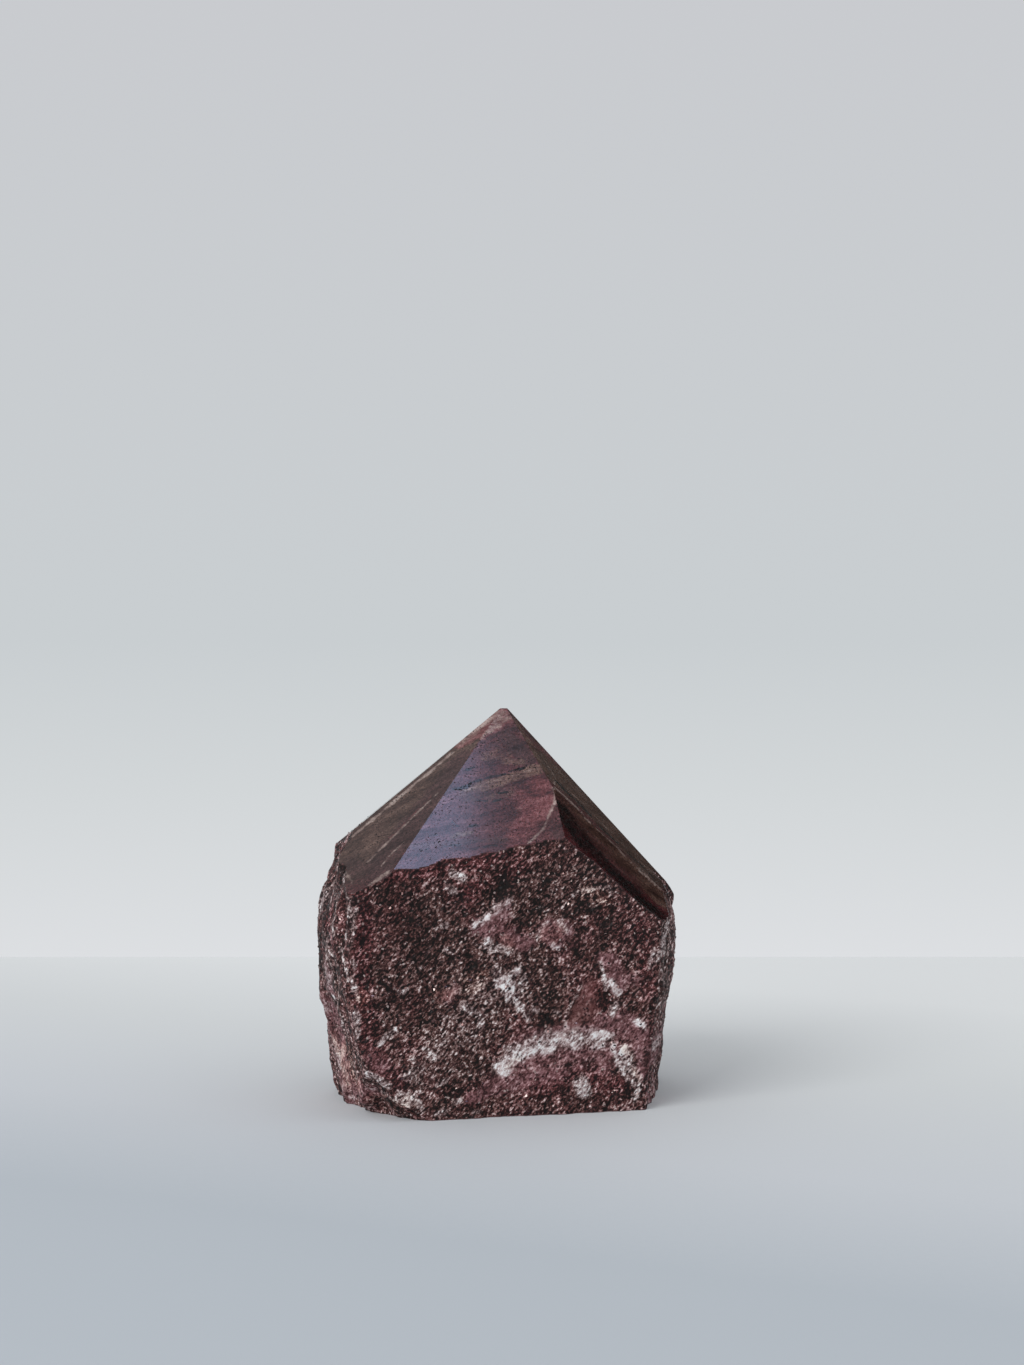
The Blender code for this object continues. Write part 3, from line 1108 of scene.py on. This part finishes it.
def shift(start: Number, marks: dict[Tint, Wire], amounts: dict[Tint, float]) -> Wire:
    """Add to a value what each tint does to it.

    Args:
        start: The value without marks.
        marks: How strongly each tint shows.
        amounts: What each tint adds where it shows in full.

    Returns:
        The shifted value.
    """
    for tint, amount in amounts.items():
        start = start + marks[tint] * amount
    return start


@dataclass(frozen=True)
class Patterns:
    """The patterns that the stone's colours, shine and bumps are made from.

    Args:
        where: Position in mm.
        speck: Fine noise, the size of a grain.
        clump: Noise the size of a few grains.
        cloud: Noise the size of a patch.
        broad: Noise the size of half a side.
        strand: Noise drawn out along the rock's layers.
        tone: The same where a broken side cuts across the layers, around 0.
        pick: A chance value for each grain.
        polish: 1 on the polished flats and 0 on the broken sides.
        pits: 1 in the pits of the polished flats.
    """

    where: Wire
    speck: Wire
    clump: Wire
    cloud: Wire
    broad: Wire
    strand: Wire
    tone: Wire
    pick: Wire
    polish: Wire
    pits: Wire


@dataclass(frozen=True)
class StoneFinish:
    """Speckled maroon mica rock, dull where it broke, with a soft shine where it is polished.

    Args:
        grain: Size of a grain in mm.
        streak: The direction of the streaks on the front.
        streak_length: How many times longer than wide the grains are.
        rough_shine: Roughness of the broken sides.
        polished_shine: Roughness of the polished flats.
        relief: Height of the bumps in mm.
        light_share: The red, green and blue of white rock in the studio light.
        layers: The rock's layers.
    """

    grain: float = 0.34
    streak: Place = (0.69, 0.17, 0.707)
    streak_length: float = 1.7
    rough_shine: float = 0.6
    polished_shine: float = 0.19
    relief: float = 0.12
    light_share: Colour = (0.67, 0.69, 0.72)
    layers: Layers = Layers()

    def seen(self, code: str) -> Colour:
        """Give the rock's own colour where the studio light shows it as the colour code."""
        red, green, blue = (c / share for c, share in zip(srgb(code), self.light_share))
        return min(red, 1.0), min(green, 1.0), min(blue, 1.0)

    def patterns(self, paint: Paint) -> Patterns:
        """Lay the patterns through the rock.

        Args:
            paint: The material in the making.

        Returns:
            The patterns.
        """
        place = paint.add("ShaderNodeTexCoord", {}, out="Object")
        where = paint.add("ShaderNodeVectorMath", {"operation": "SCALE"}, place, Scale=1 / MM)
        streak = np.array(self.streak) / np.linalg.norm(self.streak)
        front = Side.FRONT.value.outward()
        streaks = (streak / self.streak_length, np.cross(front, streak), front)
        layered = paint.along(where, streaks)
        strand = paint.noise(paint.along(where, self.layers.axes()), 0.75, 5.0, 0.62)
        size = {"Scale": 1 / self.grain}
        cells = paint.add("ShaderNodeTexVoronoi", {}, Vector=layered, out="Color", **size)
        speck = paint.noise(layered, 2.9, 4.0, 0.68)
        cloud = paint.noise(layered, 0.4, 3.0, 0.6)
        dots = paint.noise(where, 3.6) + strand.sway(0.35) + cloud.sway(0.22)
        cracked = paint.attribute(Tint.DARK.value) * 0.1 + paint.attribute(Tint.TAN.value) * 0.05
        return Patterns(
            where=where,
            speck=speck,
            clump=paint.noise(layered, 1.0, 2.0, 0.55),
            cloud=cloud,
            broad=paint.noise(where, 0.11),
            strand=strand,
            tone=strand.sway(1.0) * paint.attribute("crossing"),
            pick=paint.add("ShaderNodeSeparateColor", {}, cells),
            polish=(paint.attribute("polish") + speck.sway(0.3)).step(0.4, 0.6),
            pits=(dots + cracked).step(0.65, 0.68),
        )

    def material(self) -> bpy.types.Material:
        """Build the material.

        Returns:
            The finished material.
        """
        paint = Paint(bpy.data.materials.new("stone"))
        rock = self.patterns(paint)
        colour = paint.mix(
            rock.polish, self.rough_colour(paint, rock), self.polished_colour(paint, rock)
        )
        sawn = paint.attribute("sawn").step(0.4, 0.6)
        glint = rock.pick.sibling(1).step(0.9, 0.95) * rock.speck.step(0.45, 0.55)
        glint = glint * (1 - rock.polish)
        shine = self.rough_shine - glint * 0.3 + rock.pits * rock.polish * 0.3
        polished = rock.speck.sway(0.22) + (self.polished_shine - self.rough_shine)
        gloss = 0.62 + rock.speck.sway(0.9) + rock.strand.sway(0.8) - rock.pits
        paint.feed(
            Base_Color=paint.mix(sawn, colour, paint.ramp(rock.speck, SAWN_ROCK)),
            Roughness=(shine + polished * rock.polish).limited(),
            Coat_Weight=(gloss * rock.polish + glint * 0.8).limited(),
            Coat_Roughness=0.1,
            Specular_IOR_Level=0.2,
            Normal=self.bumps(paint, rock),
        )
        return paint.owner

    def rough_colour(self, paint: Paint, rock: Patterns) -> Wire:
        """Colour the broken sides: black pores, maroon and grey-pink grains, the marks, and painted
        shade that darkens them towards the top.

        Args:
            paint: The material in the making.
            rock: Its patterns.

        Returns:
            The colour.
        """
        marks = {}
        for tint in Tint:
            strength = paint.attribute(tint.value)
            edge = rock.speck.sway(0.8) + rock.clump.sway(1.1) - 0.07
            marks[tint] = (strength * 1.45 + edge).limited() * strength.step(0.02, 0.25)
        cloud = rock.cloud + rock.tone * 2.4
        # Painted shade: the broken sides get steadily darker from 20 mm up to 50 mm high, as if
        # less light reached their upper part.
        height = paint.add("ShaderNodeSeparateXYZ", {}, rock.where, out=2)
        shade = paint.add("ShaderNodeMapRange", {}, height, 20.0, 50.0, 0.0, 0.12)
        grains = rock.speck.sway(2.9) + rock.clump.sway(0.8) + rock.pick.sway(0.6)
        level = 0.38 + grains * (1 - shift(0.0, marks, CALMING).limited())
        level = level + cloud.sway(0.55) + rock.broad.sway(0.35) - shade
        level = shift(level, marks, LIGHTNESS).limited()
        redness = shift(0.3 + rock.broad.sway(1.4) + cloud.sway(0.8), marks, REDNESS)
        grey, red, pink, pale = (
            paint.ramp(level, shades, self.seen)
            for shades in (GREY_ROCK, RED_ROCK, PINK_ROCK, PALE_ROCK)
        )
        colour = paint.mix(redness.limited(), grey, red)
        colour = paint.mix(marks[Tint.ROSE] * 0.8, colour, pink)
        colour = paint.mix(marks[Tint.PALE] * marks[Tint.PALE] * 0.85, colour, pale)
        return paint.mix(marks[Tint.TAN] * 0.6, colour, TAN_FILTER, "MULTIPLY")

    def polished_colour(self, paint: Paint, rock: Patterns) -> Wire:
        """Colour the polished flats: the same rock, darker and closer in tone.

        Args:
            paint: The material in the making.
            rock: Its patterns.

        Returns:
            The colour.
        """
        edge = rock.strand.sway(1.3) + paint.noise(rock.where, 1.4, 4.0, 0.7).sway(1.1)
        fine = paint.noise(rock.where, 4.5, 3.0, 0.7)
        level = 0.48 + rock.speck.sway(1.3) + fine.sway(1.1) + rock.cloud.sway(0.6)
        level = (level + rock.strand.sway(1.4)).limited()
        colour = paint.ramp(level, POLISHED_ROCK)

        def shown(tint: Tint) -> Wire:
            """Tell how strongly a tint shows."""
            strength = paint.attribute(tint.value)
            return (strength + edge).step(0.15, 0.85) * strength.step(0.03, 0.25)

        for tint, share, low, middle, high in POLISHED_TINTS:
            shade = paint.ramp(level, ((0.1, low), (0.5, middle), (0.9, high)))
            colour = paint.mix(shown(tint) * share, colour, shade)
        return paint.mix((shown(Tint.DARK) + rock.pits).limited(), colour, srgb(PIT))

    def bumps(self, paint: Paint, rock: Patterns) -> Wire:
        """Raise the grains of the broken sides, and prick the polished flats with fine pits.

        Args:
            paint: The material in the making.
            rock: Its patterns.

        Returns:
            The bumped normal.
        """
        grains = rock.pick * 0.4 + rock.speck * 1.5 + rock.tone * 3.0
        pricked = (rock.speck * 0.03 - rock.pits * 0.3) * rock.polish
        height = grains * (1 - rock.polish) + pricked
        sizes = {"Strength": 1.0, "Distance": self.relief * MM}
        return paint.add("ShaderNodeBump", {}, Height=height, **sizes)


@dataclass(frozen=True)
class MicaFinish:
    """Small bright plates of mica."""

    def material(self) -> bpy.types.Material:
        """Build the material.

        Returns:
            The finished material.
        """
        paint = Paint(bpy.data.materials.new("mica"))
        shade = paint.ramp(paint.attribute("shade"), MICA_PLATES)
        paint.feed(Base_Color=shade, Roughness=0.2, Metallic=0.4, Specular_IOR_Level=0.5)
        return paint.owner


@dataclass(frozen=True)
class MicaFlakes:
    """Mica plates scattered over the broken sides with Geometry Nodes.

    Args:
        per_square_mm: How many plates lie on a square mm.
        radius: Their radius in mm.
        thickness: Their thickness in mm.
        tilt: How far in degrees they lean at most.
        bare_height: Height in mm from the floor up to which there are none.
        seed: Picks their places.
    """

    per_square_mm: float = 0.8
    radius: float = 0.17
    thickness: float = 0.05
    tilt: float = 42.0
    bare_height: float = 0.45
    seed: int = 12

    def sizes(self) -> dict[str, Number]:
        """Give the values of the scattering tree's inputs, by name."""
        return {
            "Plates per square metre": self.per_square_mm / MM**2,
            "Plate radius": self.radius * MM,
            "Plate thickness": self.thickness * MM,
            "Tilt": math.radians(self.tilt),
            "Bare height": self.bare_height * MM,
            "Seed": self.seed,
        }

    def tree(self, material: bpy.types.Material) -> bpy.types.GeometryNodeTree:
        """Build the scattering tree.

        Args:
            material: The finish of the plates.

        Returns:
            The tree, with named inputs for its sizes.
        """
        tree = bpy.data.node_groups.new("scatter mica", "GeometryNodeTree")
        outside = {"Geometry": "NodeSocketGeometry"}
        for name, value in self.sizes().items():
            outside[name] = "NodeSocketInt" if isinstance(value, int) else "NodeSocketFloat"
        for name, kind in outside.items():
            tree.interface.new_socket(name, in_out="INPUT", socket_type=kind)
        tree.interface.new_socket("Geometry", in_out="OUTPUT", socket_type="NodeSocketGeometry")
        nodes = Nodes(tree)
        number = {"data_type": "FLOAT"}
        less = {"data_type": "FLOAT", "operation": "LESS_THAN"}

        def dice(seed: int, low: float = 0.0, high: float = 1.0) -> Wire:
            """Throw a number between two others for each plate."""
            kind = "FunctionNodeRandomValue"
            return nodes.add(kind, number, None, None, low, high, out=1, Seed=seed)

        def stored(name: str) -> Wire:
            """Read a point attribute of the stone."""
            kind = "GeometryNodeInputNamedAttribute"
            return nodes.add(kind, number, out="Attribute", Name=name)

        stone = nodes.add("NodeGroupInput", out="Geometry")
        place = nodes.add("GeometryNodeInputPosition")
        height = nodes.add("ShaderNodeSeparateXYZ", {}, place, out=2)
        low = nodes.add("FunctionNodeCompare", less, height, stone.sibling("Bare height"))
        kept_off = stored("polish") + stored("sawn") + low
        points = nodes.add(
            "GeometryNodeDistributePointsOnFaces",
            {"distribute_method": "RANDOM"},
            Mesh=stone,
            Selection=nodes.add("FunctionNodeCompare", less, kept_off, 0.1),
            Density=stone.sibling("Plates per square metre"),
            Seed=stone.sibling("Seed"),
        )
        plate = nodes.add(
            "GeometryNodeMeshCylinder",
            {"fill_type": "NGON"},
            Vertices=6,
            Radius=stone.sibling("Plate radius"),
            Depth=stone.sibling("Plate thickness"),
        )
        tilt = stone.sibling("Tilt")
        lean = nodes.add(
            "ShaderNodeCombineXYZ",
            {},
            dice(3, -1.0, 1.0) * tilt,
            dice(4, -1.0, 1.0) * tilt,
            dice(5, 0.0, math.pi),
        )
        turn = nodes.add(
            "FunctionNodeRotateRotation",
            {"rotation_space": "LOCAL"},
            points.sibling("Rotation"),
            lean,
        )
        plates = nodes.add(
            "GeometryNodeInstanceOnPoints",
            Points=points,
            Instance=plate,
            Rotation=turn,
            Scale=dice(8, 0.5, 1.5),
        )
        shaded = nodes.add(
            "GeometryNodeStoreNamedAttribute",
            {"data_type": "FLOAT", "domain": "INSTANCE"},
            Geometry=plates,
            Name="shade",
            Value=dice(21),
        )
        real = nodes.add("GeometryNodeRealizeInstances", Geometry=shaded)
        dressed = nodes.add("GeometryNodeSetMaterial", Geometry=real, Material=material)
        nodes.join(tree.nodes.new("NodeGroupOutput").inputs["Geometry"], dressed)
        return tree

    def build(self, stone: bpy.types.Object, finish: MicaFinish) -> bpy.types.Object:
        """Scatter the plates over a copy of the stone and keep the result as a plain mesh.

        Args:
            stone: The dressed stone.
            finish: What the plates are made of.

        Returns:
            The plates, joined in one object.
        """
        material = finish.material()
        carrier = add_object("mica carrier", stone.data.copy())
        scatter = carrier.modifiers.new("scatter mica", "NODES")
        scatter.node_group = self.tree(material)
        sizes = self.sizes()
        for item in scatter.node_group.interface.items_tree:
            if item.name in sizes:
                scatter[item.identifier] = sizes[item.name]
        mesh = take_mesh(carrier)
        mesh.materials.clear()
        mesh.materials.append(material)
        return add_object("mica_flakes", mesh)


@dataclass(frozen=True)
class Studio:
    """The pale floor, the soft lights, the pale air around and the camera.

    Args:
        focal_pixels: Focal length in picture points.
        frame_height: Height of the picture in the same points.
        camera_place: Where the camera stands, in mm.
        floor_reach: Where the floor ends behind the stone, in mm.
        floor_painted_light_shades: The floor's colours, from near left to far right: painted light
            and shade, darker near the front left and lighter towards the far right, as the light
            falls across it.
        card_shades: The colours of a card that only the right flats mirror, from left to right.
        air_shades: The air's colours, from 0 straight down to 1 half-way up.
    """

    focal_pixels: float = 2050.0
    frame_height: float = 1365.0
    camera_place: Place = (2.52, -332.73, 66.4)
    floor_reach: float = 163.0
    # Painted light: the floor is darker near the front left and lighter towards the far right, as
    # the light falls across it.
    floor_painted_light_shades: Shades = ((0.3, "c2c8ce"), (0.42, "d6d9dd"), (0.6, "e2e4e4"), (0.8, "f2f3f2"))
    card_shades: Shades = ((0.65, "55534e"), (0.8, "141413"))
    air_shades: Shades = (
        (0.36, "dee0e3"), (0.45, "d2d6d8"), (0.52, "c9ced1"), (0.82, "c9cbcf"), (1.0, "cbced2"),
    )  # fmt: skip

    def sheet(
        self, name: str, corners: tuple[Place, ...], shades: Shades, fade: Place
    ) -> bpy.types.Object:
        """Make one plain sheet of the set.

        Args:
            name: Its name.
            corners: Its four corners in mm.
            shades: Places from 0 to 1 with colour codes.
            fade: How much the place rises from the middle, 0.5, for each mm along the three axes.

        Returns:
            The sheet, staged.
        """
        mesh = bpy.data.meshes.new(name)
        mesh.from_pydata([tuple(c * MM for c in corner) for corner in corners], [], [(0, 1, 2, 3)])
        paint = Paint(bpy.data.materials.new(name))
        where = paint.add("ShaderNodeTexCoord", {}, out="Object")
        tooth = paint.noise(where, 900.0, 3.0, 0.6)
        rise = paint.dot(where, tuple(step / MM for step in fade))
        base = paint.ramp(rise + 0.5 + tooth.sway(0.02), shades)
        paint.feed(Base_Color=base, Roughness=0.85, Specular_IOR_Level=0.2)
        mesh.materials.append(paint.owner)
        sheet = add_object(name, mesh)
        return sheet

    def light(
        self,
        name: str,
        place: Place,
        aim: Place,
        size: tuple[float, float],
        watts: float,
        colour: Colour,
    ) -> bpy.types.Object:
        """Hang one soft light.

        Args:
            name: Its name.
            place: Where it hangs, in mm.
            aim: Where it points, in mm.
            size: Its width and height in mm.
            watts: Its power.
            colour: Its red, green and blue.

        Returns:
            The light.
        """
        lamp = bpy.data.lights.new(name, "AREA")
        lamp.shape = "RECTANGLE"
        lamp.size, lamp.size_y = size[0] * MM, size[1] * MM
        lamp.energy = watts
        lamp.color = colour
        holder = add_object(name, lamp)
        holder.location = Vector(place) * MM
        holder.rotation_euler = (Vector(place) - Vector(aim)).to_track_quat("Z", "Y").to_euler()
        return holder

    def hang_lights(self) -> None:
        """Hang the bluish light that the front flat mirrors, and the main light."""
        sky = self.light(
            "sky",
            place=(-28, -112, 600),
            aim=(-28, -112, 0),
            size=(115, 160),
            watts=0.27,
            colour=(0.49, 0.62, 1.0),
        )
        sky.visible_diffuse = False
        self.light(
            "front left",
            place=(-950, -1080, 850),
            aim=(0, 0, 30),
            size=(1000, 1000),
            watts=13.5,
            colour=(0.98, 0.985, 0.97),
        )

    def lay_sheets(self) -> None:
        """Lay the floor, and stand up the dark card that only mirrors show."""
        back = self.floor_reach
        floor = ((-900, -700, 0), (900, -700, 0), (900, back, 0), (-900, back, 0))
        self.sheet("floor", floor, self.floor_painted_light_shades, (0.0011, 0.0022, 0))
        upright = ((66, 158, 70), (420, 158, 70), (420, 158, 420), (66, 158, 420))
        card = self.sheet("dark card", upright, self.card_shades, (0.002, 0, 0))
        card.visible_camera = False
        card.visible_shadow = False
        card.visible_diffuse = False

    def fill_air(self) -> None:
        """Give the air around its light and colour."""
        air = Paint(bpy.data.worlds.new("air"), "Background")
        direction = air.add("ShaderNodeTexCoord", {}, out="Generated")
        height = air.add("ShaderNodeSeparateXYZ", {}, direction, out=2)
        air.feed(Color=air.ramp(height + 0.5, self.air_shades), Strength=1.0)
        bpy.context.scene.world = air.owner
        bpy.context.scene.view_settings.view_transform = "Standard"

    def set_camera(self) -> None:
        """Stand the camera in front, level."""
        lens = bpy.data.cameras.new("camera")
        lens.sensor_width = 36.0
        lens.lens = lens.sensor_width * self.focal_pixels / self.frame_height
        lens.clip_start, lens.clip_end = 0.01, 10.0
        camera = add_object("camera", lens)
        camera.location = Vector(self.camera_place) * MM
        camera.rotation_euler = (math.radians(90), 0.0, 0.0)
        bpy.context.scene.camera = camera

    def build(self) -> None:
        """Set up the floor, the lights, the air and the camera."""
        self.lay_sheets()
        self.hang_lights()
        self.fill_air()
        self.set_camera()


def main() -> None:
    """Build the stone, its mica and the set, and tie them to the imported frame."""
    logging.basicConfig(level=logging.INFO, format="%(name)s: %(message)s")
    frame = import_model()
    LOG.info("frame loaded with nodes %s", sorted(frame["nodes"]))
    stone = StoneShape().build()
    stone.data.materials.clear()
    stone.data.materials.append(StoneFinish().material())
    LOG.info("stone with %d triangles", sum(len(face.vertices) - 2 for face in stone.data.polygons))
    flakes = MicaFlakes().build(stone, MicaFinish())
    LOG.info("mica flakes with %d faces", len(flakes.data.polygons))
    for piece in (stone, flakes):
        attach(piece, "root")
    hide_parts("stone")
    Studio().build()


if __name__ == "__main__":
    main()
